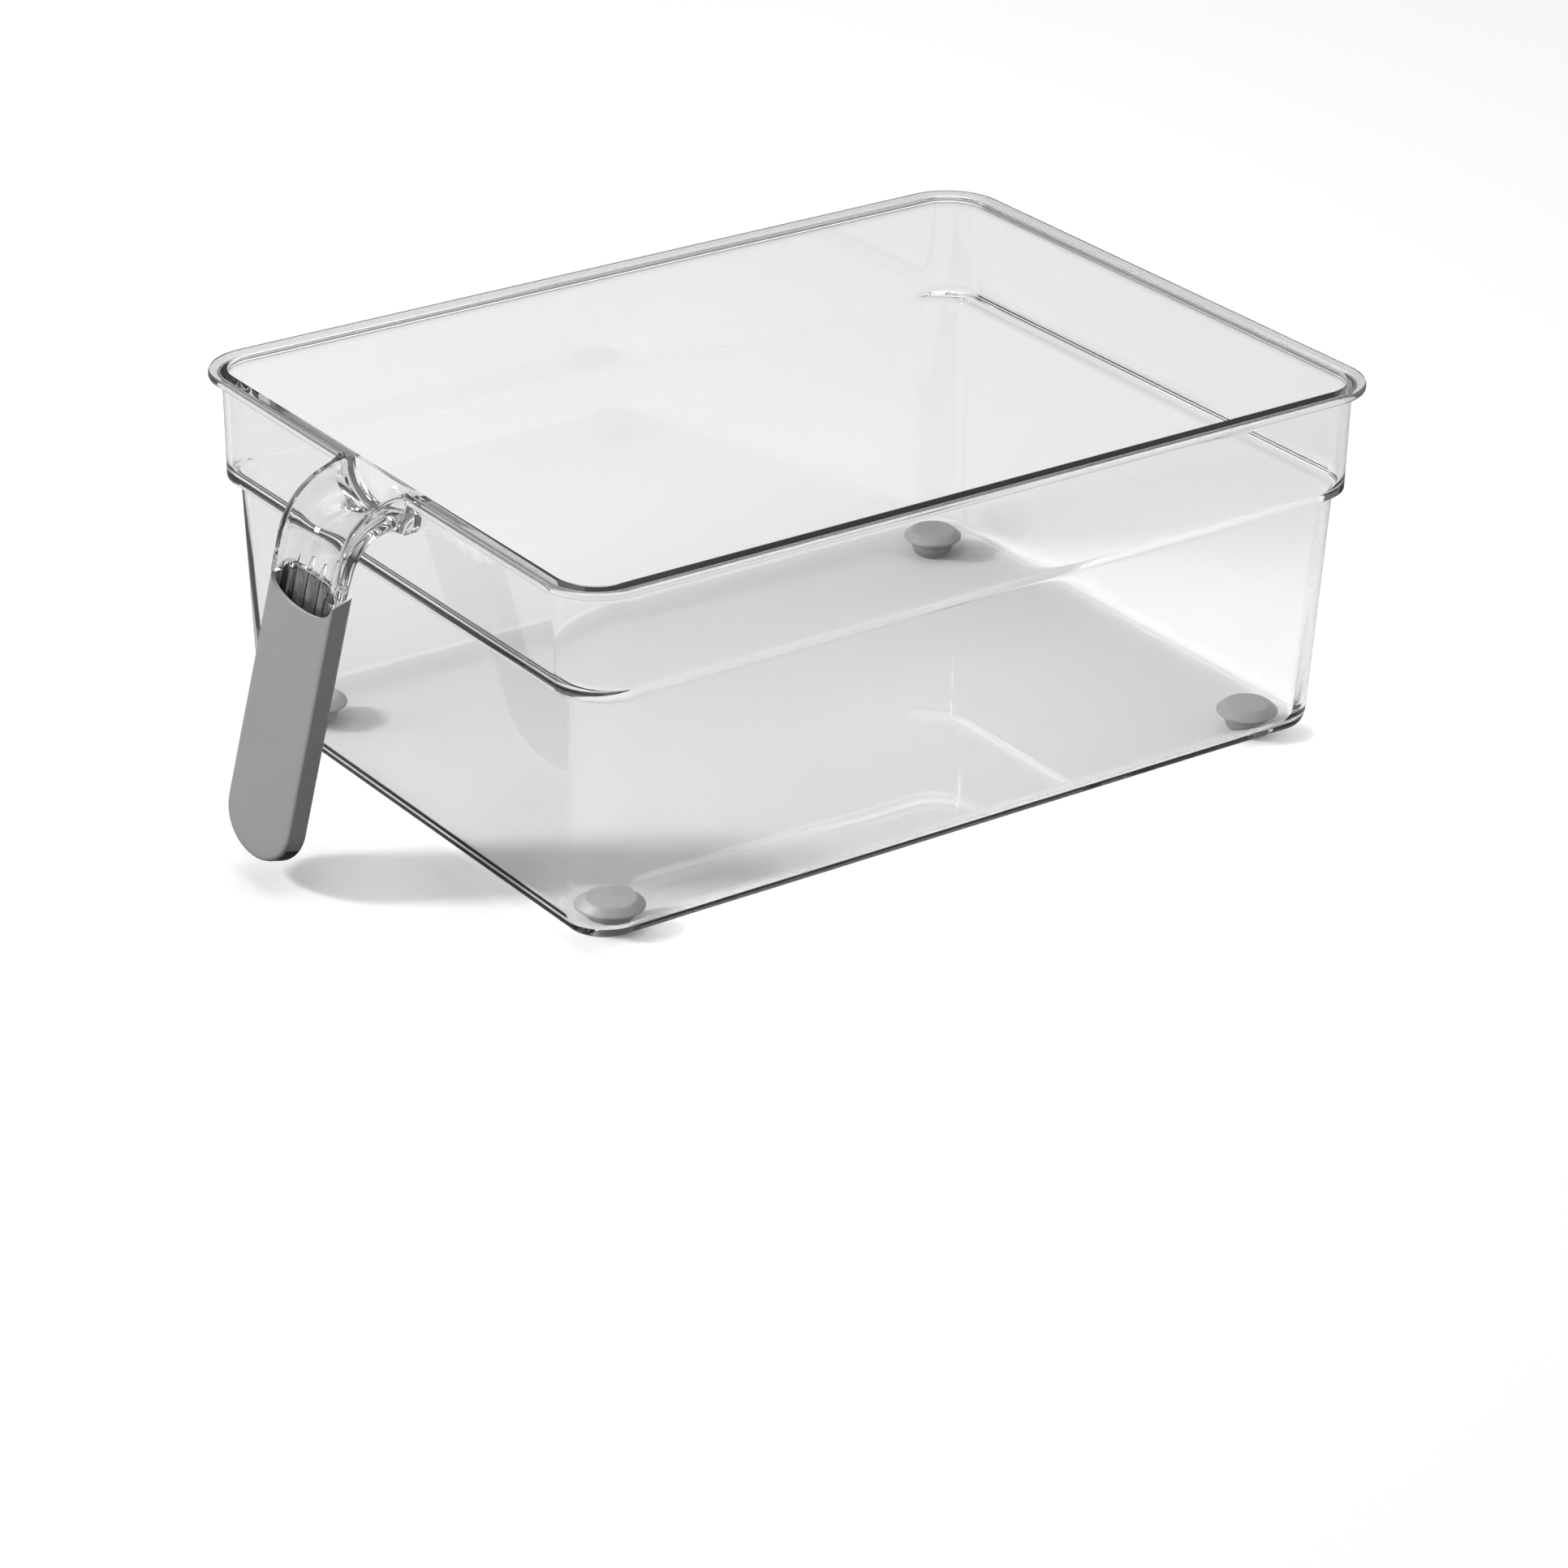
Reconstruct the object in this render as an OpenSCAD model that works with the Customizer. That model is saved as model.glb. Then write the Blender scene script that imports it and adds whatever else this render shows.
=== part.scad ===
// Clear fridge bin with a hanging grip handle and four plug-in rubber feet.
// The handle is at the front (-Y). The bin stands on its feet at z = 0.

/* [Bin] */
// Length over the rim, front to back, mm
rim_length = 320; // [280:1:360]
// Width over the rim, side to side, mm
rim_width = 236; // [226:1:260]
// Height from the underside of the floor to the top of the rim, mm
bin_height = 124; // [110:1:140]
// Thickness of the clear walls, mm
wall = 2; // [1.8:0.1:3]
// Thickness of the floor, mm
floor_thickness = 2.8; // [2.2:0.1:3.4]
// How much narrower each side wall is at the floor than at the ledge, mm
side_draft = 5.8; // [3:0.1:8]
// How much further in the front and back walls are at the floor, mm
end_draft = 2.2; // [1:0.1:5]
// Outer radius of the edge between the walls and the floor, mm
floor_edge_radius = 6; // [4:0.1:6.5]
// Inner radius of the wall's corners, seen from above, mm
inner_corner_radius = 14; // [10:0.5:15]

/* [Rim] */
// How far the lip of the rim stands out past the wall, mm
lip_overhang = 4.5; // [3.6:0.1:6]
// Thickness of the lip, mm
lip_height = 2.4; // [2.2:0.1:4]
// Radius of the rim's corners, seen from above, mm
rim_corner_radius = 20.5; // [18:0.5:30]

/* [Stacking ledge] */
// Height of the band between the ledge and the top of the rim, mm
band_height = 38; // [30:1:48]
// How far the ledge steps in, on the front and the back only, mm
ledge_depth = 5; // [3:0.1:7]

/* [Handle] */
// Width of the handle neck and the grip, mm
handle_width = 38.4; // [32:0.2:46]
// Radius of the neck's bend, along the top of its side rails, mm
neck_bend_radius = 26; // [22:0.5:32]
// Length of the straight part of the neck above the grip, mm
neck_straight = 12.6; // [9:0.2:16]
// Depth of the neck's gutter at the wall, mm
gutter_depth = 13; // [10:0.2:14]
// Width of the solid side rail at its top, mm
rail_width = 3; // [2.4:0.1:4]
// Lean of the grip, away from the bin towards its lower end, degrees
grip_lean = 13.8; // [8:0.2:18]
// Length of the grip along its face, mm
grip_length = 90; // [80:1:94]
// Thickness of the grip, mm
grip_thickness = 7.6; // [7:0.1:9]
// How much higher the grip's top is at the back than at the face, mm
grip_slant = 4.6; // [2:0.2:6]
// Depth of the curved notch in the top of the grip's face, mm
grip_notch = 6.4; // [4:0.2:10]

/* [Feet] */
// Distance between the feet, side to side, mm
foot_spacing_x = 179; // [150:1:181]
// Distance between the feet, front to back, mm
foot_spacing_y = 258; // [220:1:261]
// Height of the foot below the floor, mm
foot_height = 5.5; // [4:0.1:7]
// Diameter of the foot below the floor, mm
foot_diameter = 15; // [13:0.5:17]
// Diameter of the plug's head inside the bin, mm
head_diameter = 21; // [18:0.5:21]
// Height of the plug's head above the floor, mm
head_height = 3.4; // [2.4:0.1:4]
// Diameter of the hole in the floor, mm
floor_hole = 10; // [8:0.5:12]

/* [Hidden] */

clear = [0.86, 0.90, 0.92, 0.45];
grey = [0.52, 0.53, 0.54];
dark_grey = [0.36, 0.36, 0.37];

corner_steps = 8;                                  // straight steps round one corner
band_x = rim_width / 2 - lip_overhang;             // band's outer face, half width
band_y = rim_length / 2 - lip_overhang;            // band's outer face, half length
band_r = rim_corner_radius - lip_overhang;         // band's outer corner radius
ledge_z = bin_height - band_height;                // height of the ledge above the floor's underside
low_x = band_x - 0.6;                              // lower wall just under the ledge
low_y = band_y - 0.4 - ledge_depth;
foot_x = low_x - side_draft;                       // lower wall carried down to the floor
foot_y = low_y - end_draft;
floor_r = band_r - 2.5;                            // outer corner radius at the floor
inner_edge_radius = 4;                             // inside edge between the walls and the floor
lip_edge = 1.2;                                    // how far the lip's outer edge is rounded
lip_root = min(3.2, lip_overhang - lip_edge - 0.05); // radius of the hollow curve under the lip

// The grip's face runs down and out from the end of the neck.
rail_start = rim_length / 2 - 2;
turn = 90 - grip_lean;
grip_top_y = -(rail_start + neck_bend_radius * sin(turn) + neck_straight * sin(grip_lean));
grip_top_z = bin_height - 0.2 - neck_bend_radius * (1 - cos(turn)) - neck_straight * cos(grip_lean);
front_y = grip_top_y - grip_length * sin(grip_lean);
// The whole part is centred over the origin.
shift_y = -(front_y + rim_length / 2) / 2;

skin = 1.7;                                        // wall of the grip's sleeve
pocket = grip_thickness - 2 * skin;                // room for the tongue inside the sleeve
tongue_half = handle_width / 2 - skin;
tongue_length = grip_length - 14;

// One level of the bin: a rounded rectangle given by its half width, half length,
// corner radius and height.
function ring(level) = [
    for (corner = [0:3]) for (k = [0:corner_steps])
        let (a = 90 * corner + 90 * k / corner_steps,
             sx = corner == 0 || corner == 3 ? 1 : -1,
             sy = corner < 2 ? 1 : -1)
        [sx * (level[0] - level[2]) + level[2] * cos(a),
         sy * (level[1] - level[2]) + level[2] * sin(a),
         level[3]]
];

function flatten(list) = [for (part = list) for (item = part) item];

// End face of a loft. A gutter section is closed by a strip between its inner and outer
// curves, and any other loop by one face.
function end_face(n, gutter_end) = !gutter_end ? [[for (i = [0:n - 1]) i]] :
    let (s = section_steps)
    concat(flatten([for (i = [0:s - 1])
               [[i, i + 1, 2 * s + 3 - i], [i, 2 * s + 3 - i, 2 * s + 4 - i]]]),
           [for (i = [1:3]) [s, s + i, s + i + 1]],
           [for (i = [4:6]) [0, 2 * s + i, 2 * s + i + 1]]);

// A closed solid through a list of loops that all have the same number of points.
module loft(loops, gutter_end = false) {
    n = len(loops[0]);
    m = len(loops);
    first = end_face(n, gutter_end);
    sides = [for (j = [0:m - 2]) for (i = [0:n - 1]) for (half = [0:1])
        let (a = j * n + i, b = j * n + (i + 1) % n)
        half == 0 ? [a, b + n, b] : [a, a + n, b + n]];
    polyhedron(points = flatten(loops),
               faces = concat(sides, first, [for (face = first)
                   [for (i = [len(face) - 1:-1:0]) (m - 1) * n + face[i]]]),
               convexity = 12);
}

// Levels up the outside of the bin, over the rim and down the inside to the floor.
function floor_edge(x, y, r, edge, z0) = [for (a = [0:22.5:90])
    [x - edge * (1 - sin(a)), y - edge * (1 - sin(a)), r - edge * (1 - sin(a)), z0 + edge * (1 - cos(a))]];

function at_wall(out, z) = [band_x + out, band_y + out, band_r + out, z];

outer_levels = concat(
    floor_edge(foot_x + side_draft * floor_edge_radius / ledge_z,
               foot_y + end_draft * floor_edge_radius / ledge_z, floor_r, floor_edge_radius, 0),
    [[low_x, low_y, band_r, ledge_z - 2],
     [low_x + 0.1, low_y + 0.3, band_r, ledge_z - 0.8],
     [low_x + 0.15, low_y + 1, band_r, ledge_z - 0.25],
     [low_x + 0.2, low_y + 2.2, band_r, ledge_z],
     [band_x - 0.42, band_y - 0.7, band_r, ledge_z + 0.1],
     [band_x - 0.4, band_y - 0.4, band_r, ledge_z + 0.5]],
    // under the lip a hollow curve runs out from the wall
    [for (a = [0:22.5:90])
        at_wall(lip_root * (1 - cos(a)), bin_height - lip_height - lip_root * (1 - sin(a)))],
    [for (a = [-90:22.5:90])
        at_wall(lip_overhang - lip_edge + lip_edge * cos(a),
                bin_height - lip_height / 2 + lip_height / 2 * sin(a))]);

function inside(x, y, z) = [x - wall, y - wall, inner_corner_radius, z];

inner_levels = concat(
    [inside(band_x + 0.7, band_y + 0.7, bin_height),
     inside(band_x + 0.2, band_y + 0.2, bin_height - 0.2),
     inside(band_x, band_y, bin_height - 0.7),
     inside(band_x - 0.4, band_y - 0.4, ledge_z + wall + 3.2),
     inside(band_x - 0.42, band_y - 0.6, ledge_z + wall + 1.8),
     inside(band_x - 0.45, band_y - 1.1, ledge_z + wall + 0.7),
     inside(band_x - 0.5, band_y - 2, ledge_z + wall + 0.1),
     inside(low_x + 0.1, low_y + 2, ledge_z + wall - 0.1),
     inside(low_x + 0.05, low_y + 1, ledge_z + wall - 0.5),
     inside(low_x, low_y + 0.3, ledge_z + wall - 1.5),
     inside(low_x, low_y, ledge_z + wall - 3.2)],
    [for (a = [90:-22.5:0])
        let (in = inner_edge_radius * (1 - sin(a)),
             z = floor_thickness + inner_edge_radius * (1 - cos(a)))
        [foot_x + side_draft * z / ledge_z - wall - in, foot_y + end_draft * z / ledge_z - wall - in,
         inner_corner_radius - in, z]]);

// One cross-section of the handle neck: a gutter with solid rails. The rails' tops are at
// depth 0, and depth grows towards the bin.
section_steps = 14;
function gutter(half, depth, under, flare) = concat(
    [for (k = [0:section_steps])
        let (a = 180 * k / section_steps)
        [(half - rail_width + flare * 0.4) * cos(a), depth * pow(sin(a), 0.9)]],
    [[-half - flare + 1.1, 0], [-half - flare + 0.3, 0.35], [-half - flare, 1.1]],
    [for (k = [0:section_steps])
        let (a = 180 - 180 * k / section_steps)
        [(half + flare) * sign(cos(a)) * pow(abs(cos(a)), 0.5),
         1.4 + (depth + under - 1.4) * pow(sin(a), 0.6)]],
    [[half + flare, 1.1], [half + flare - 0.3, 0.35], [half + flare - 1.1, 0]]);

// The same cross-section placed along the neck. turned is the angle through the bend, and
// ahead is the distance from the end of the bend.
function neck_section(turned, ahead, depth, flare) =
    let (y0 = -(rail_start + neck_bend_radius * sin(turned) + ahead * sin(grip_lean)),
         z0 = bin_height - 0.2 - neck_bend_radius * (1 - cos(turned)) - ahead * cos(grip_lean))
    [for (p = gutter(handle_width / 2, depth, 2.6, flare))
        [p[0], y0 + p[1] * sin(turned), z0 - p[1] * cos(turned)]];

shallow = skin + 2.9;                              // gutter depth where it enters the grip
function gutter_at(t) = gutter_depth + (shallow - gutter_depth) * pow(t, 0.95);

neck_loops = concat(
    [for (k = [0:10])
        let (t = k / 10, arc = turn * t, run = neck_bend_radius * PI * arc / 180)
        neck_section(arc, 0, gutter_at(0.8 * t), run < 8 ? 4 * pow(1 - run / 8, 2) : 0)],
    [for (k = [1:3]) neck_section(turn, neck_straight * k / 3, gutter_at(0.8 + 0.2 * k / 3), 0)]);

// Root of the neck, carried level into the thickness of the front wall.
root_loop = [for (p = gutter(handle_width / 2, gutter_depth, 2.6, 4))
    [p[0], -(band_y - wall / 2), bin_height - 0.2 - p[1]]];

// Shapes drawn here lie along the grip: x across, y down its face, z into its thickness.
module along_grip() {
    translate([0, grip_top_y, grip_top_z])
        rotate([-90 - grip_lean, 0, 0]) children();
}

// Outline of the grip, drawn smaller all round by inset, except at its straight top, which
// rises towards the back.
paddle_tip = 14;                                   // length of the grip's rounded lower end
function paddle(inset, z) =
    let (half = handle_width / 2 - inset, tip = paddle_tip - inset)
    concat([for (k = [0:20]) let (a = 180 * k / 20)
                [half * cos(a), grip_length - paddle_tip + tip * pow(sin(a), 0.95), z]],
           [[-half, -grip_slant * z / grip_thickness, z], [half, -grip_slant * z / grip_thickness, z]]);

module tongue() {
    difference() {
        translate([-tongue_half, -3, skin])
            cube([2 * tongue_half, tongue_length - 12 + 3, pocket]);
        // the channel down the tongue, open towards the grip's face
        translate([-tongue_half + rail_width, -4, skin - 1])
            cube([2 * (tongue_half - rail_width), tongue_length - 12 - 4 + 4, pocket - 1.7 + 1]);
    }
    translate([0, tongue_length - 12, skin])
        intersection() {
            translate([-tongue_half, 0, 0]) cube([2 * tongue_half, 12, pocket]);
            translate([0, 12 - 30, 0]) cylinder(h = pocket, r = 30, $fn = 96);
        }
}

// Four stiffening ribs in the channel, tapering out on the neck's floor.
module ribs() {
    for (side = [-3:2:3])
        translate([side * 3.6 + 0.6, 0, 0])
            rotate([0, -90, 0])
                linear_extrude(1.2)
                    polygon([[4.9, -9.5], [3.9, -7], [3.1, -2.5], [skin + 0.5, 0.5],
                             [skin + 0.5, tongue_length - 20], [skin + pocket - 1, tongue_length - 20],
                             [skin + pocket - 0.6, -9.5]]);
}

// What lies beyond the grip's slanted top, cut off the lower end of the neck.
module beyond_top() {
    rotate([0, -90, 0])
        translate([0, 0, -26]) linear_extrude(52)
            polygon([[-0.5, 0.5 * grip_slant / grip_thickness],
                     [grip_thickness + 3, -grip_slant * (grip_thickness + 3) / grip_thickness],
                     [grip_thickness + 3, 9], [-0.5, 9]]);
}

// The rim has no lip between the rails, so the gutter runs up to the wall itself.
module gutter_mouth() {
    half = handle_width / 2 - rail_width + 1.6;
    translate([0, -band_y, bin_height - 0.2])
        rotate([90, 0, 0]) linear_extrude(lip_overhang + 1)
            polygon(concat([[half, 1], [half, 0]],
                [for (k = [1:section_steps - 1]) let (a = 180 * k / section_steps)
                    [half * cos(a), -gutter_depth * pow(sin(a), 0.9)]],
                [[-half, 0], [-half, 1]]));
}

module bin_shell() {
    color(clear)
    translate([0, shift_y, foot_height])
    difference() {
        union() {
            difference() {
                loft([for (level = concat(outer_levels, inner_levels)) ring(level)]);
                gutter_mouth();
            }
            difference() {
                loft(concat([root_loop], neck_loops), gutter_end = true);
                along_grip() beyond_top();
            }
            along_grip() tongue();
            along_grip() ribs();
        }
        for (sx = [-1, 1]) for (sy = [-1, 1])
            translate([sx * foot_spacing_x / 2, sy * foot_spacing_y / 2, -1])
                cylinder(h = floor_thickness + 2, d = floor_hole, $fn = 64);
    }
}

module grip() {
    color(grey)
    translate([0, shift_y, foot_height])
    along_grip()
    difference() {
        loft([for (s = [[0.6, 0], [0.18, 0.18], [0, 0.6], [0, grip_thickness - 2.2],
                        [0.3, grip_thickness - 1.1], [1.1, grip_thickness - 0.3],
                        [2.2, grip_thickness]])
            paddle(s[0], s[1])]);
        // pocket for the tongue
        translate([0, 0, skin]) {
            translate([-tongue_half, -8, 0]) cube([2 * tongue_half, tongue_length - 12 + 8, pocket]);
            translate([0, tongue_length - 12, 0])
                intersection() {
                    translate([-tongue_half, -0.01, 0]) cube([2 * tongue_half, 12.01, pocket]);
                    translate([0, 12 - 30, 0]) cylinder(h = pocket, r = 30, $fn = 96);
                }
        }
        // curved notch in the top of the face
        translate([0, 0, -1]) linear_extrude(skin + 1.01)
            polygon(concat([for (k = [0:24]) let (a = 180 * k / 24)
                [(handle_width / 2 - 0.9) * cos(a), grip_notch * pow(sin(a), 0.8)]],
                [[-handle_width / 2 + 0.9, -8], [handle_width / 2 - 0.9, -8]]));
    }
}

// One plug: a foot under the floor, a stem in the hole and a wide head above the floor.
module foot(sx, sy) {
    stem = floor_hole / 2;
    head = head_diameter / 2;
    pad = foot_diameter / 2;
    top = foot_height + floor_thickness;
    color(dark_grey)
    translate([sx * foot_spacing_x / 2, sy * foot_spacing_y / 2 + shift_y, 0])
        rotate_extrude($fn = 64)
            polygon(concat(
                [[0, 0], [pad - 2.6, 0]],
                [for (a = [15:15:90]) [pad - 2.6 + 2.6 * sin(a), (foot_height - 1.4) * (1 - cos(a))]],
                [[pad, foot_height], [stem, foot_height], [stem, top], [head, top],
                 [head, top + 0.8], [head - 0.4, top + 1.3], [head - 2.6, top + head_height - 0.5],
                 [head - 3.6, top + head_height], [0, top + head_height]]));
}

module foot_front_left() { foot(-1, -1); }
module foot_front_right() { foot(1, -1); }
module foot_rear_left() { foot(-1, 1); }
module foot_rear_right() { foot(1, 1); }

bin_shell();
grip();
foot_front_left();
foot_front_right();
foot_rear_left();
foot_rear_right();
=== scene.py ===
# Looks and camera for the clear fridge bin. Lengths in the shape sections are in millimetres
# and match the CAD; every mesh is written in metres, in the row's frame.
import bpy
import bmesh
import math
from mathutils import Matrix, Vector


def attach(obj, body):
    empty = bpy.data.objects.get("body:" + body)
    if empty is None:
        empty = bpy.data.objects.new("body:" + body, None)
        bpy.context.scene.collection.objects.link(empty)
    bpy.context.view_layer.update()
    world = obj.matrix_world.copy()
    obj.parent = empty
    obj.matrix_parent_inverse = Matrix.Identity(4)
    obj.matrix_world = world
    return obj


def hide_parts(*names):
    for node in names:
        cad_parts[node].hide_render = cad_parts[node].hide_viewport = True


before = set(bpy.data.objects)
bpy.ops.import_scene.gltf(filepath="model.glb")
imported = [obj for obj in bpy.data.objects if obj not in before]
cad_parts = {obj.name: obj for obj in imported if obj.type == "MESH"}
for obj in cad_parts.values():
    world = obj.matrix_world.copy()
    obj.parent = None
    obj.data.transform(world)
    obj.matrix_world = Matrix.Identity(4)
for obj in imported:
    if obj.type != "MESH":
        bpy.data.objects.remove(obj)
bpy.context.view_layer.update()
scene = bpy.context.scene

# ---------------------------------------------------------------- sizes, as in the CAD
# rim, walls and floor
RIM_L, RIM_W, HEIGHT = 320.0, 236.0, 124.0
WALL, FLOOR_T = 2.0, 2.8
OVER, LIP_H, RIM_R = 4.5, 2.4, 20.5
BAND_H, LEDGE, SIDE_STEP = 38.0, 5.0, 0.2
BAND_LEAN = 0.4
DRAFT_X, DRAFT_Y, DRAFT_R = 5.8, 2.2, 2.5
BAND_X, BAND_Y, BAND_R = RIM_W / 2 - OVER, RIM_L / 2 - OVER, RIM_R - OVER
IN_R = BAND_R - WALL
LEDGE_Z = HEIGHT - BAND_H
LOW_X, LOW_Y = BAND_X - BAND_LEAN - SIDE_STEP, BAND_Y - BAND_LEAN - LEDGE
BASE_X, BASE_Y, BASE_R = LOW_X - DRAFT_X, LOW_Y - DRAFT_Y, BAND_R - DRAFT_R

# handle neck
HANDLE_W, BEND_R, STRAIGHT, GUTTER, RAIL = 38.4, 26.0, 12.6, 13.0, 3.0
NECK_Z = HEIGHT - 0.2
NECK_FLOOR, RAIL_EDGE = 2.6, 1.4
# powers of sine and cosine: at 1 the section is a half round, and below 1 it is boxier
OUTER_ACROSS, OUTER_DEEP, INNER_DEEP = 0.5, 0.6, 0.9
FLARE, FLARE_RUN = 4.0, 8.0
FILLET = 2.6
LEAN = math.radians(13.8)
RAIL_START = RIM_L / 2 - 2
TURN = math.pi / 2 - LEAN

# grip, and the tongue in its pocket
GRIP_L, GRIP_T, NOTCH, TIP, SLANT = 90.0, 7.6, 6.4, 14.0, 4.6
GRIP_Y = -(RAIL_START + BEND_R * math.sin(TURN) + STRAIGHT * math.sin(LEAN))
GRIP_Z = NECK_Z - BEND_R * (1 - math.cos(TURN)) - STRAIGHT * math.cos(LEAN)
SKIN = 1.7
POCKET = GRIP_T - 2 * SKIN
TONGUE = HANDLE_W / 2 - SKIN
TONGUE_L = GRIP_L - 14
PLAY = 0.06

# feet and their holes
FOOT_H, FOOT_R, HEAD_R, HEAD_H = 5.5, 7.5, 10.45, 3.4
SPACE_X, SPACE_Y, HOLE = 179.0, 258.0, 10.0

# from the middle of the bin's length to the middle of the whole part's
SHIFT = -(GRIP_Y - GRIP_L * math.sin(LEAN) + RIM_L / 2) / 2
# what keeps two surfaces from lying in each other
HAIR = 0.02


# ---------------------------------------------------------------- mesh helpers
def place(p):
    """A point of the bin, in mm from the middle of the floor's underside, in metres."""
    return Vector((p[0] / 1000, (p[1] + SHIFT) / 1000, (p[2] + FOOT_H) / 1000))


def on_grip(p):
    """A point along the grip (across, down its face, into its thickness) as a bin point."""
    x, u, n = p
    return (x, GRIP_Y - u * math.sin(LEAN) + n * math.cos(LEAN),
            GRIP_Z - u * math.cos(LEAN) - n * math.sin(LEAN))


def slant_at(n):
    """How far down the face the grip's slanted top is, at a depth into its thickness."""
    return -SLANT * n / GRIP_T


def new_object(name, bm):
    """An object with smooth faces, from a bmesh that this call uses up."""
    bmesh.ops.recalc_face_normals(bm, faces=bm.faces)
    mesh = bpy.data.meshes.new(name)
    bm.to_mesh(mesh)
    bm.free()
    for face in mesh.polygons:
        face.use_smooth = True
    ob = bpy.data.objects.new(name, mesh)
    scene.collection.objects.link(ob)
    return ob


def loft(name, loops):
    """A closed mesh through loops that have the same number of points."""
    bm = bmesh.new()
    rows = [[bm.verts.new(place(p)) for p in loop] for loop in loops]
    n = len(rows[0])
    for a, b in zip(rows, rows[1:]):
        for i in range(n):
            j = (i + 1) % n
            bm.faces.new((a[i], a[j], b[j], b[i]))
    bm.faces.new(rows[0][::-1])
    bm.faces.new(rows[-1])
    return new_object(name, bm)


def lathe(name, profile, cx, cy, steps=72):
    """A turned solid from (radius, height over the table) points, its ends on the axis."""
    bm = bmesh.new()
    rows = []
    for r, z in profile:
        turns = [2 * math.pi * k / steps for k in range(steps)] if r else [0.0]
        rows.append([bm.verts.new(((cx + r * math.cos(a)) / 1000,
                                   (cy + SHIFT + r * math.sin(a)) / 1000, z / 1000))
                     for a in turns])
    for a, b in zip(rows, rows[1:]):
        for i in range(steps):
            j = (i + 1) % steps
            if len(a) == 1:
                bm.faces.new((a[0], b[i], b[j]))
            elif len(b) == 1:
                bm.faces.new((a[i], a[j], b[0]))
            else:
                bm.faces.new((a[i], a[j], b[j], b[i]))
    return new_object(name, bm)


def soften(points, spans, steps=6):
    """A path with each inner corner replaced by a curve that starts spans[i] before it."""
    out = [points[0]]
    for i in range(1, len(points) - 1):
        b = points[i]
        ends = []
        for q in (points[i - 1], points[i + 1]):
            d = math.sqrt(sum((q[k] - b[k]) ** 2 for k in range(len(b))))
            f = min(0.49, spans[i] / max(d, 1e-6))
            ends.append([b[k] + (q[k] - b[k]) * f for k in range(len(b))])
        for s in range(steps + 1):
            t = s / steps
            out.append([(1 - t) ** 2 * ends[0][k] + 2 * t * (1 - t) * b[k] + t * t * ends[1][k]
                        for k in range(len(b))])
    out.append(points[-1])
    return out


def ring(level, steps=18):
    """A rectangle with round corners, from half sizes, corner radius and height."""
    hx, hy, r, z = level
    out = []
    for corner in range(4):
        sx = 1 if corner in (0, 3) else -1
        sy = 1 if corner < 2 else -1
        for k in range(steps + 1):
            a = math.pi / 2 * (corner + k / steps)
            out.append((sx * (hx - r) + r * math.cos(a), sy * (hy - r) + r * math.sin(a), z))
    return out


def apply_modifiers(ob):
    """Gives the object the mesh that its modifiers make, and takes them away."""
    depsgraph = bpy.context.evaluated_depsgraph_get()
    mesh = bpy.data.meshes.new_from_object(ob.evaluated_get(depsgraph))
    ob.modifiers.clear()
    ob.data = mesh


def combine(ob, other, how):
    """Adds the other object to the first or cuts it out, and uses it up."""
    modifier = ob.modifiers.new(how, "BOOLEAN")
    modifier.operation = how
    modifier.solver = "EXACT"
    modifier.object = other
    apply_modifiers(ob)
    bpy.data.objects.remove(other)


def finish_normals(ob, bevel=0.0):
    """Shading normals that follow the large faces, after a bevel or with sharp edges kept."""
    if bevel:
        edges = ob.modifiers.new("edges", "BEVEL")
        edges.width = bevel / 1000
        edges.segments = 3
        edges.limit_method = "ANGLE"
        edges.angle_limit = math.radians(45)
    else:
        ob.data.set_sharp_from_angle(angle=math.radians(32))
    normals = ob.modifiers.new("normals", "WEIGHTED_NORMAL")
    normals.mode = "FACE_AREA"
    normals.weight = 80
    normals.keep_sharp = True
    apply_modifiers(ob)


# ---------------------------------------------------------------- walls, floor and rim
def wall_level(out, z):
    return [BAND_X + out, BAND_Y + out, BAND_R + out, z]


# up the outside from the floor, over the rim, and down the inside; each row is a ring's
# half sizes, corner radius and height, then how far its edge is softened
wall_rows = [
    [BASE_X - 9, BASE_Y - 9, BASE_R - 9, 0, 0],
    [BASE_X, BASE_Y, BASE_R, 0, 6.6],
    [LOW_X, LOW_Y, BAND_R, LEDGE_Z, 2.4],
    [BAND_X - BAND_LEAN - HAIR, BAND_Y - BAND_LEAN, BAND_R, LEDGE_Z + 0.1, 0.6],
    wall_level(0, HEIGHT - LIP_H) + [3.2],
    wall_level(OVER, HEIGHT - LIP_H) + [1.0],
    wall_level(OVER, HEIGHT) + [1.1],
    [BAND_X - WALL, BAND_Y - WALL, IN_R, HEIGHT, 0.7],
    [BAND_X - BAND_LEAN - WALL, BAND_Y - BAND_LEAN - WALL, IN_R, LEDGE_Z + WALL + 0.1, 4.0],
    [LOW_X - WALL, LOW_Y - WALL, IN_R, LEDGE_Z + WALL - 0.1, 4.0],
    [BASE_X - WALL + 0.2, BASE_Y - WALL + 0.1, IN_R, FLOOR_T, 4.5],
    [BASE_X - WALL - 7, BASE_Y - WALL - 7, IN_R - 7, FLOOR_T, 0],
]
levels = [row[:4] for row in wall_rows]
spans = [row[4] for row in wall_rows]
shell = loft("clear_shell", [ring(level) for level in soften(levels, spans)])

hole_bottom, hole_top = FOOT_H - 1, FOOT_H + FLOOR_T + 1
hole_profile = [(0, hole_bottom), (HOLE / 2, hole_bottom), (HOLE / 2, hole_top), (0, hole_top)]
for sx in (-1, 1):
    for sy in (-1, 1):
        cut = lathe("hole", hole_profile, sx * SPACE_X / 2, sy * SPACE_Y / 2)
        combine(shell, cut, "DIFFERENCE")


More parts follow.
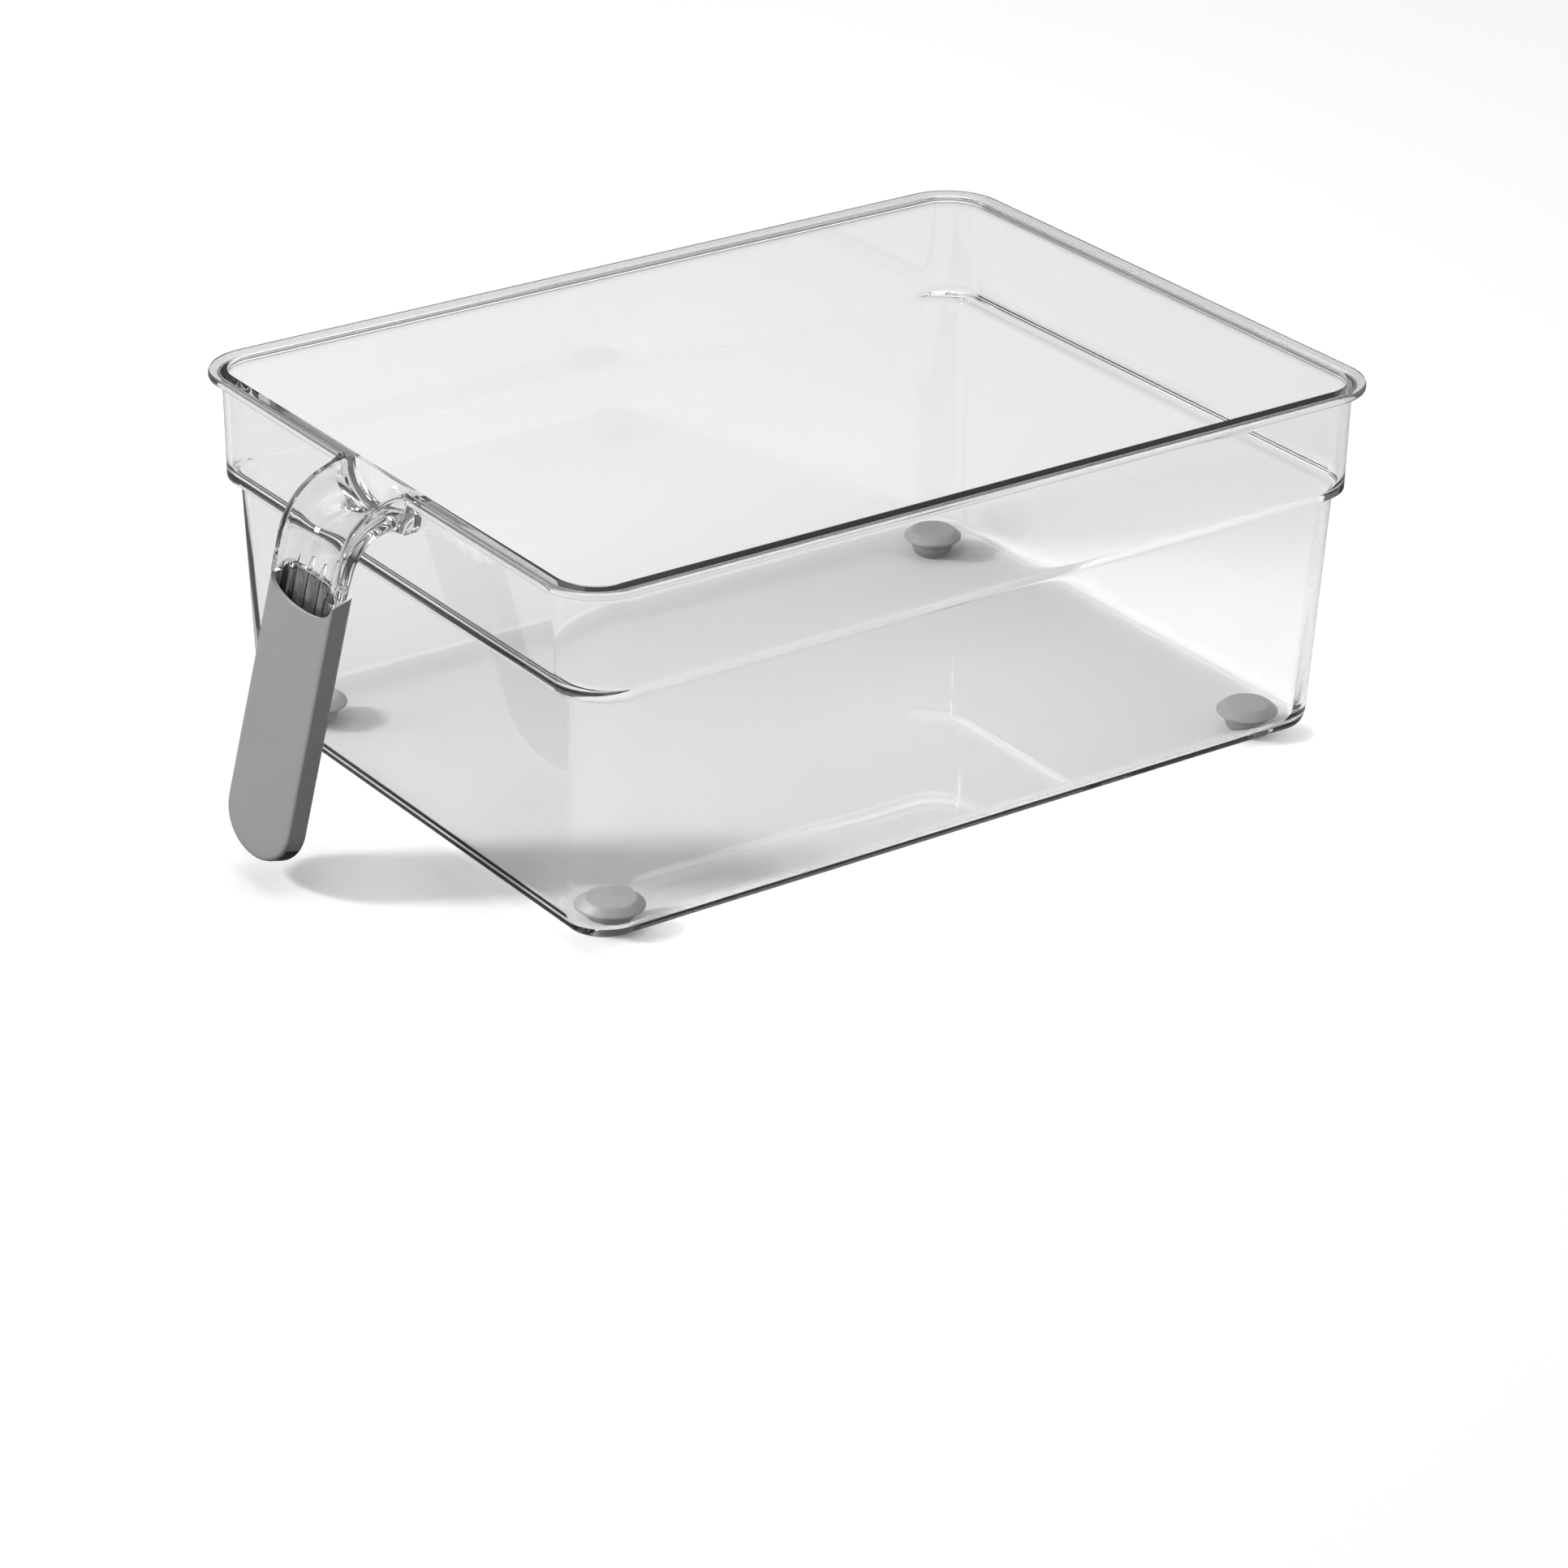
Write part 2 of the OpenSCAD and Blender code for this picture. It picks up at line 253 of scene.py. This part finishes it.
# ---------------------------------------------------------------- handle neck
def gutter(depth, flare, raised, steps=36):
    """Cross-section of the neck: a gutter with rounded rails, their tops at depth 0."""
    edge = HANDLE_W / 2 + flare
    inner = HANDLE_W / 2 - RAIL + flare * 0.4 - raised
    start = math.radians(8)
    turns = [start + (math.pi - 2 * start) * k / steps for k in range(steps + 1)]

    def outer_point(a):
        c = math.cos(a)
        across = edge * math.copysign(abs(c) ** OUTER_ACROSS, c) if abs(c) > 1e-9 else 0.0
        return (across, RAIL_EDGE + (depth + NECK_FLOOR - RAIL_EDGE) * math.sin(a) ** OUTER_DEEP)

    def inner_point(a):
        return (inner * math.cos(a), (depth - raised) * math.sin(a) ** INNER_DEEP)

    middle = ((inner + edge) / 2, 0.0)
    far_rail = [outer_point(math.pi - start), (-edge, 0.0), (-inner, 0.0),
                inner_point(math.pi - start)]
    path = soften([middle, (edge, 0.0), outer_point(start)], [0, 1.0, 0])[:-1]
    path += [outer_point(a) for a in turns]
    path += soften(far_rail, [0, 1.0, 0.9, 0])[1:-1]
    path += [inner_point(a) for a in reversed(turns)]
    path += soften([inner_point(start), (inner, 0.0), middle], [0, 0.9, 0])[1:-1]
    return path


def root_fillet(out):
    """How far the gutter's surface is raised at a distance out from the wall."""
    if out >= FILLET:
        return 0.0
    return FILLET - math.sqrt(FILLET ** 2 - (FILLET - max(out, 0)) ** 2)


def gutter_at(t):
    """The gutter's depth, from 0 at the wall to 1 at the grip."""
    shallow = SKIN + 2.9
    return GUTTER + (shallow - GUTTER) * t ** 0.95


def neck_section(turned, ahead, depth, flare):
    """The neck's section after a turn down round the bend and a run straight ahead."""
    y0 = -(RAIL_START + BEND_R * math.sin(turned) + ahead * math.sin(LEAN))
    z0 = NECK_Z - BEND_R * (1 - math.cos(turned)) - ahead * math.cos(LEAN)
    return [(x, y0 + d * math.sin(turned), z0 - d * math.cos(turned))
            for x, d in gutter(depth, flare, root_fillet(-y0 - BAND_Y))]


BEND_STEPS, STRAIGHT_STEPS = 30, 6
BEND_SHARE = 0.8
sections = []
for out in (-WALL / 2, 0.0, 0.2, 0.6, 1.2, 1.8):
    sections.append([(x, -(BAND_Y + out), NECK_Z - d)
                     for x, d in gutter(GUTTER, FLARE, root_fillet(out))])
for k in range(BEND_STEPS + 1):
    t = k / BEND_STEPS
    run = BEND_R * TURN * t
    flare = FLARE * (1 - run / FLARE_RUN) ** 2 if run < FLARE_RUN else 0.0
    sections.append(neck_section(TURN * t, 0, gutter_at(BEND_SHARE * t), flare))
for k in range(1, STRAIGHT_STEPS + 1):
    t = k / STRAIGHT_STEPS
    depth = gutter_at(BEND_SHARE + (1 - BEND_SHARE) * t)
    sections.append(neck_section(TURN, (STRAIGHT + 0.5) * t, depth, 0))
neck = loft("neck", sections)

# the neck ends on the grip's slanted top
wedge = [(n, slant_at(n)) for n in (-0.5, GRIP_T + 3)] + [(GRIP_T + 3, 9.0), (-0.5, 9.0)]
cut = loft("wedge", [[on_grip((x, u, n)) for n, u in wedge] for x in (-26, 26)])
combine(neck, cut, "DIFFERENCE")

# the lip stops between the rails
half = HANDLE_W / 2 - RAIL + 1.6
arch = [math.pi * k / 24 for k in range(1, 24)]
mouth_line = [(half, 2.0), (half, 0.0)]
mouth_line += [(half * math.cos(a), -GUTTER * math.sin(a) ** INNER_DEEP) for a in arch]
mouth_line += [(-half, 0.0), (-half, 2.0)]
cut = loft("mouth", [[(x, y, NECK_Z + z) for x, z in mouth_line]
                     for y in (-BAND_Y - HAIR, -BAND_Y - OVER - 1)])
combine(shell, cut, "DIFFERENCE")

# ---------------------------------------------------------------- tongue inside the grip
# a channel with its front left open, and four ribs that run up into the gutter
CHANNEL_T = 1.7
RIB_PITCH, RIB_T = 7.2, 1.2
side, front, behind = TONGUE - PLAY, SKIN + PLAY, SKIN + POCKET - PLAY
channel_line = [(side, front), (side, behind), (-side, behind), (-side, front),
                (-side + RAIL, front), (-side + RAIL, behind - CHANNEL_T),
                (side - RAIL, behind - CHANNEL_T), (side - RAIL, front)]
channel = loft("channel", [[on_grip((x, u, n)) for x, n in channel_line]
                           for u in (-4.0, TONGUE_L - 12.0)])
combine(neck, channel, "UNION")
rib_side = [(-9.5, 4.9), (-7.0, 3.9), (-2.5, 3.1), (0.5, SKIN + 0.5), (TONGUE_L - 20, SKIN + 0.5),
            (TONGUE_L - 20, SKIN + POCKET - 1.0), (-9.5, SKIN + POCKET - 0.6)]
for place_in_row in (-1.5, -0.5, 0.5, 1.5):
    x = place_in_row * RIB_PITCH
    rib = loft("rib", [[on_grip((x + dx, u, n)) for u, n in rib_side]
                       for dx in (-RIB_T / 2, RIB_T / 2)])
    combine(neck, rib, "UNION")
combine(shell, neck, "UNION")
finish_normals(shell)


# ---------------------------------------------------------------- grip
def paddle(inset, n):
    """The grip's outline, drawn in by an inset, at a depth into its thickness."""
    half_w, tip = HANDLE_W / 2 - inset, TIP - inset
    out = []
    for k in range(41):
        a = math.pi * k / 40
        out.append((half_w * math.cos(a), GRIP_L - TIP + tip * max(0.0, math.sin(a)) ** 0.95, n))
    top = slant_at(n)
    return out + [(-half_w, 40.0, n), (-half_w, top, n), (half_w, top, n), (half_w, 40.0, n)]


# (inset, depth) from the middle of the front over both rounded edges to the back
grip_rows = [(6.0, 0.0), (3.0, 0.03), (1.5, 0.12), (0.8, 0.26), (0.36, 0.5), (0.1, 0.85), (0, 1.3),
             (0, 5.6), (0.1, 6.1), (0.4, 6.65), (0.85, 7.05), (1.5, 7.35), (2.3, 7.52), (4.0, GRIP_T)]
grip = loft("soft_grip", [[on_grip(p) for p in paddle(inset, n)] for inset, n in grip_rows])

pocket_line = [(-TONGUE, -9), (TONGUE, -9), (TONGUE, TONGUE_L - 4), (-TONGUE, TONGUE_L - 4)]
pocket = loft("pocket", [[on_grip((x, u, n)) for x, u in pocket_line] for n in (SKIN, SKIN + POCKET)])
combine(grip, pocket, "DIFFERENCE")

half = HANDLE_W / 2 - 0.9
arch = [math.pi * k / 40 for k in range(41)]
notch_line = [(half * math.cos(a), NOTCH * max(0.0, math.sin(a)) ** 0.8) for a in arch]
notch_line += [(-half, -9), (half, -9)]
notch = loft("notch", [[on_grip((x, u, n)) for x, u in notch_line] for n in (-1.0, SKIN + 0.01)])
combine(grip, notch, "DIFFERENCE")
finish_normals(grip, bevel=0.4)

# ---------------------------------------------------------------- feet
top = FOOT_H + FLOOR_T
stem = HOLE / 2 - PLAY
foot_profile = [
    # the domed foot under the floor
    (0, 0.25), (1.2, 0.22), (3.6, 0.05), (4.2, 0.0), (4.9, 0.05), (5.6, 0.35), (6.3, 0.95),
    (6.9, 1.8), (7.3, 2.9), (FOOT_R, 4.1), (FOOT_R, FOOT_H - 0.4), (7.3, FOOT_H - PLAY),
    # the stem in the floor's hole
    (stem, FOOT_H - PLAY), (stem, top + PLAY),
    # the chamfered head inside the bin
    (10.2, top + PLAY), (HEAD_R, top + 0.3), (HEAD_R, top + 0.8), (10.3, top + 1.15),
    (8.2, top + 2.9), (7.7, top + 3.2), (6.9, top + 3.38), (2.0, top + HEAD_H),
    (1.6, top + 3.3), (0, top + 3.3),
]
corners = (("front_left", -1, -1), ("front_right", 1, -1), ("rear_left", -1, 1), ("rear_right", 1, 1))
feet = []
for name, sx, sy in corners:
    f = lathe("rubber_foot_" + name, foot_profile, sx * SPACE_X / 2, sy * SPACE_Y / 2)
    finish_normals(f)
    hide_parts("foot_" + name)
    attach(f, "root")
    feet.append(f)

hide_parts("bin_shell")
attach(shell, "root")
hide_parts("grip")
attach(grip, "root")


# ---------------------------------------------------------------- material helpers
def material(name):
    """A new material, its node tree, its Principled shader and its output node."""
    mat = bpy.data.materials.new(name)
    mat.use_nodes = True
    nt = mat.node_tree
    return mat, nt, nt.nodes["Principled BSDF"], nt.nodes["Material Output"]


def node(nt, kind, **values):
    """A new node, with its inputs or, where no input has the name, its settings set."""
    n = nt.nodes.new(kind)
    for key, value in values.items():
        if key in n.inputs:
            n.inputs[key].default_value = value
        else:
            setattr(n, key, value)
    return n


def link(nt, a, out, b, inp):
    nt.links.new(a.outputs[out], b.inputs[inp])


def grey(tone):
    return (tone, tone, tone, 1)


def math_node(nt, operation, a, out, second=None):
    """A Math node on one linked value and, where it is given, a second number."""
    n = node(nt, "ShaderNodeMath", operation=operation)
    link(nt, a, out, n, 0)
    if second is not None:
        n.inputs[1].default_value = second
    return n


def colour_mix(nt, first, second):
    """A colour Mix node; its colours are inputs 6 and 7, its factor 0 and its result 2."""
    n = node(nt, "ShaderNodeMix", data_type="RGBA")
    n.inputs[6].default_value = first
    n.inputs[7].default_value = second
    return n


def map_range(nt, a, out, from_range, to_range):
    n = node(nt, "ShaderNodeMapRange")
    n.inputs["From Min"].default_value, n.inputs["From Max"].default_value = from_range
    n.inputs["To Min"].default_value, n.inputs["To Max"].default_value = to_range
    link(nt, a, out, n, "Value")
    return n


def shader_mix(nt, factor, out, first, second):
    """A Mix Shader node, which gives the second shader where the factor is 1."""
    n = node(nt, "ShaderNodeMixShader")
    link(nt, factor, out, n, 0)
    link(nt, first, 0, n, 1)
    link(nt, second, 0, n, 2)
    return n


def wear(ob, mat):
    ob.data.materials.clear()
    ob.data.materials.append(mat)


# ---------------------------------------------------------------- clear plastic
# the clear tone, and the tone of painted shade on light that leaves the long walls and the low walls
# late
CLEAR_TONE, PAINTED_SHADE_TONE = 0.97, 0.4
# light goes free once its count of bounces is past this
MOST_BOUNCES = 7.5
# heights over the table, in metres, of the painted shade low on the walls: under the first and over
# the second
PAINTED_SHADE_UNDER, PAINTED_SHADE_OVER = 0.07, 0.03


def escape_painted_shade(nt, where):
    """The tone of light that leaves a wall late, with painted shade: dim through the long walls and
    low on any wall, and clear elsewhere."""
    facing = node(nt, "ShaderNodeNewGeometry")
    facing_axes = node(nt, "ShaderNodeSeparateXYZ")
    link(nt, facing, "Normal", facing_axes, 0)
    place_axes = node(nt, "ShaderNodeSeparateXYZ")
    link(nt, where, "Object", place_axes, 0)
    sideways = math_node(nt, "ABSOLUTE", facing_axes, "X")
    long_wall = math_node(nt, "GREATER_THAN", sideways, 0, 0.5)
    lower = math_node(nt, "LESS_THAN", place_axes, "Z", PAINTED_SHADE_UNDER)
    off_floor = math_node(nt, "GREATER_THAN", place_axes, "Z", PAINTED_SHADE_OVER)
    either = math_node(nt, "MAXIMUM", long_wall, 0)
    link(nt, lower, 0, either, 1)
    dim = math_node(nt, "MULTIPLY", either, 0)
    link(nt, off_floor, 0, dim, 1)
    tone = colour_mix(nt, grey(CLEAR_TONE), grey(PAINTED_SHADE_TONE))
    link(nt, dim, 0, tone, 0)
    return tone


def clear_plastic():
    mat, nt, p, output = material("clear_plastic")
    where = node(nt, "ShaderNodeTexCoord")
    p.inputs["IOR"].default_value = 1.53
    p.inputs["Transmission Weight"].default_value = 1.0
    p.inputs["Base Color"].default_value = grey(1)
    absorbed = node(nt, "ShaderNodeVolumeAbsorption", Density=6.0, Color=grey(0))
    link(nt, absorbed, 0, output, "Volume")
    # faint haze in patches, as handling leaves on polished plastic
    haze = node(nt, "ShaderNodeTexNoise", Scale=34.0, Detail=5.0, Roughness=0.6)
    link(nt, where, "Object", haze, "Vector")
    rough = map_range(nt, haze, "Fac", (0.45, 0.8), (0.0, 0.03))
    link(nt, rough, "Result", p, "Roughness")
    # slow waviness of a moulded wall
    wave = node(nt, "ShaderNodeTexNoise", Scale=9.0, Detail=1.5, Roughness=0.4)
    link(nt, where, "Object", wave, "Vector")
    bump = node(nt, "ShaderNodeBump", Strength=0.12, Distance=0.0016)
    link(nt, wave, "Fac", bump, "Height")
    link(nt, bump, "Normal", p, "Normal")
    # lamps shine through the plastic
    path = node(nt, "ShaderNodeLightPath")
    shone_through = node(nt, "ShaderNodeBsdfTransparent", Color=grey(CLEAR_TONE))
    lit = shader_mix(nt, path, "Is Shadow Ray", p, shone_through)
    # light caught in a wall gets out after some bounces, with painted shade through the long walls
    # and low down
    escape = node(nt, "ShaderNodeBsdfTransparent")
    link(nt, escape_painted_shade(nt, where), 2, escape, "Color")
    caught = math_node(nt, "GREATER_THAN", path, "Ray Depth", MOST_BOUNCES)
    link(nt, shader_mix(nt, caught, 0, lit, escape), 0, output, "Surface")
    return mat


# ---------------------------------------------------------------- rubbers
def soft_rubber(name, dark, light, rough, grain, bump_strength):
    mat, nt, p, _ = material(name)
    where = node(nt, "ShaderNodeTexCoord")
    cloud = node(nt, "ShaderNodeTexNoise", Scale=55.0, Detail=4.0, Roughness=0.55)
    link(nt, where, "Object", cloud, "Vector")
    tint = colour_mix(nt, (*dark, 1), (*light, 1))
    link(nt, cloud, "Fac", tint, 0)
    link(nt, tint, 2, p, "Base Color")
    fine = node(nt, "ShaderNodeTexNoise", Scale=grain, Detail=3.0, Roughness=0.7)
    link(nt, where, "Object", fine, "Vector")
    patches = map_range(nt, cloud, "Fac", (0.0, 1.0), (rough - 0.06, rough + 0.08))
    link(nt, patches, "Result", p, "Roughness")
    bump = node(nt, "ShaderNodeBump", Strength=bump_strength, Distance=0.0002)
    link(nt, fine, "Fac", bump, "Height")
    link(nt, bump, "Normal", p, "Normal")
    p.inputs["Sheen Weight"].default_value = 0.15
    p.inputs["Sheen Roughness"].default_value = 0.4
    return mat


def paint_pocket_shade(ob, mat):
    """Gives the faces inside the grip's pocket a second material, a nearly black one that paints
    shade in the pocket.
    """
    ob.data.materials.append(mat)
    edge = 0.05
    for face in ob.data.polygons:
        p = face.center * 1000 - Vector((0, SHIFT, FOOT_H))
        u = -(p.y - GRIP_Y) * math.sin(LEAN) - (p.z - GRIP_Z) * math.cos(LEAN)
        n = (p.y - GRIP_Y) * math.cos(LEAN) - (p.z - GRIP_Z) * math.sin(LEAN)
        inside = abs(p.x) < TONGUE + edge and SKIN - edge < n < SKIN + POCKET + edge
        if inside and u > slant_at(n) + 0.5:
            face.material_index = 1


wear(shell, clear_plastic())
wear(grip, soft_rubber("soft_grip", (0.36, 0.36, 0.365), (0.40, 0.40, 0.405), 0.52, 2600.0, 0.35))
# painted shade: the pocket's inside is a nearly black rubber, darker than the grip's own grey
paint_pocket_shade(grip, soft_rubber("sleeve_inside_painted_shade", (0.01, 0.01, 0.01), (0.018, 0.018, 0.018),
                                0.5, 1500.0, 0.2))
foot_mat = soft_rubber("foot_rubber", (0.22, 0.22, 0.225), (0.27, 0.27, 0.275), 0.42, 1800.0, 0.25)
for f in feet:
    wear(f, foot_mat)


# ---------------------------------------------------------------- floor
FLOOR_HALF = 3.0
# floor tones seen directly, through the plastic and in reflections; the last two are painted shade
SEEN_DIRECTLY, SEEN_THROUGH, SEEN_REFLECTED = 0.97, 0.75, 0.16


def pale_floor_painted_shade():
    mat, nt, p, _ = material("studio_floor")
    rays = node(nt, "ShaderNodeLightPath")
    # painted shade: the floor is darker seen through the plastic and darker still in reflections
    indirect = colour_mix(nt, grey(SEEN_THROUGH), grey(SEEN_REFLECTED))
    link(nt, rays, "Is Reflection Ray", indirect, 0)
    direct = colour_mix(nt, grey(0), grey(SEEN_DIRECTLY))
    link(nt, rays, "Is Camera Ray", direct, 0)
    link(nt, indirect, 2, direct, 6)
    link(nt, direct, 2, p, "Base Color")
    p.inputs["Roughness"].default_value = 0.9
    p.inputs["Specular IOR Level"].default_value = 0.1
    return mat


bm = bmesh.new()
bmesh.ops.create_grid(bm, x_segments=1, y_segments=1, size=FLOOR_HALF)
floor = new_object("studio_floor", bm)
wear(floor, pale_floor_painted_shade())

# ---------------------------------------------------------------- light
# tones of the surroundings from the horizon (0.5) up; the ramp ends in white straight up (1),
# and below the first place it has that place's tone
SKY = ((0.51, 1.0), (0.54, 0.075), (0.72, 0.1), (0.84, 0.62))
SKY_STRENGTH = 0.8
BACKDROP = 0.93

world = bpy.data.worlds.new("studio")
scene.world = world
world.use_nodes = True
wn = world.node_tree
sky = wn.nodes["Background"]
where = node(wn, "ShaderNodeTexCoord")
axes = node(wn, "ShaderNodeSeparateXYZ")
link(wn, where, "Generated", axes, 0)
height = math_node(wn, "MULTIPLY_ADD", axes, "Z", 0.5)
height.inputs[2].default_value = 0.5
tones = node(wn, "ShaderNodeValToRGB")
for position, tone in SKY:
    tones.color_ramp.elements.new(position).color = grey(tone)
tones.color_ramp.elements.remove(tones.color_ramp.elements[0])
link(wn, height, 0, tones, 0)
link(wn, tones, 0, sky, "Color")
sky.inputs["Strength"].default_value = SKY_STRENGTH
rays = node(wn, "ShaderNodeLightPath")
backdrop = node(wn, "ShaderNodeBackground", Color=grey(BACKDROP))
link(wn, shader_mix(wn, rays, "Is Camera Ray", sky, backdrop), 0, wn.nodes["World Output"], "Surface")


def lamp(name, size, power, at, towards):
    """A square area lamp: side in metres, power in watts."""
    data = bpy.data.lights.new(name, "AREA")
    data.size = size
    data.energy = power
    ob = bpy.data.objects.new(name, data)
    scene.collection.objects.link(ob)
    ob.location = at
    ob.rotation_mode = "QUATERNION"
    ob.rotation_quaternion = (Vector(towards) - Vector(at)).to_track_quat("-Z", "Y")


lamp("softbox_top", 2.2, 17, (-0.2, 0.3, 1.8), (0, 0, 0))
lamp("softbox_front", 0.3, 30, (-1.0, -1.6, 1.3), (0, 0, 0.05))
lamp("sparkle", 0.05, 1.2, (0.6, -1.0, 2.0), (0, 0, 0.05))

# ---------------------------------------------------------------- camera
CAMERA_AT = (1.30177, -0.90478, 0.76279)
AZIMUTH, ELEVATION, ROLL = math.radians(54.47), math.radians(26.12), math.radians(0.84)
LENS = 119.56

camera_data = bpy.data.cameras.new("camera")
camera = bpy.data.objects.new("camera", camera_data)
scene.collection.objects.link(camera)
ahead = Vector((-math.sin(AZIMUTH) * math.cos(ELEVATION),
                math.cos(AZIMUTH) * math.cos(ELEVATION), -math.sin(ELEVATION)))
right = Vector((math.cos(AZIMUTH), math.sin(AZIMUTH), 0))
up = right.cross(ahead)
rolled_right = right * math.cos(ROLL) + up * math.sin(ROLL)
rolled_up = up * math.cos(ROLL) - right * math.sin(ROLL)
facing = Matrix((rolled_right, rolled_up, -ahead)).transposed().to_4x4()
camera.matrix_world = Matrix.Translation(CAMERA_AT) @ facing
camera_data.sensor_width = 36.0
camera_data.lens = LENS
camera_data.clip_start, camera_data.clip_end = 0.05, 60.0
scene.camera = camera
scene.view_settings.view_transform = "Standard"

# light needs many bounces to find its way out of clear walls
scene.cycles.max_bounces = 32
scene.cycles.glossy_bounces = 32
scene.cycles.transmission_bounces = 32
scene.cycles.transparent_max_bounces = 24
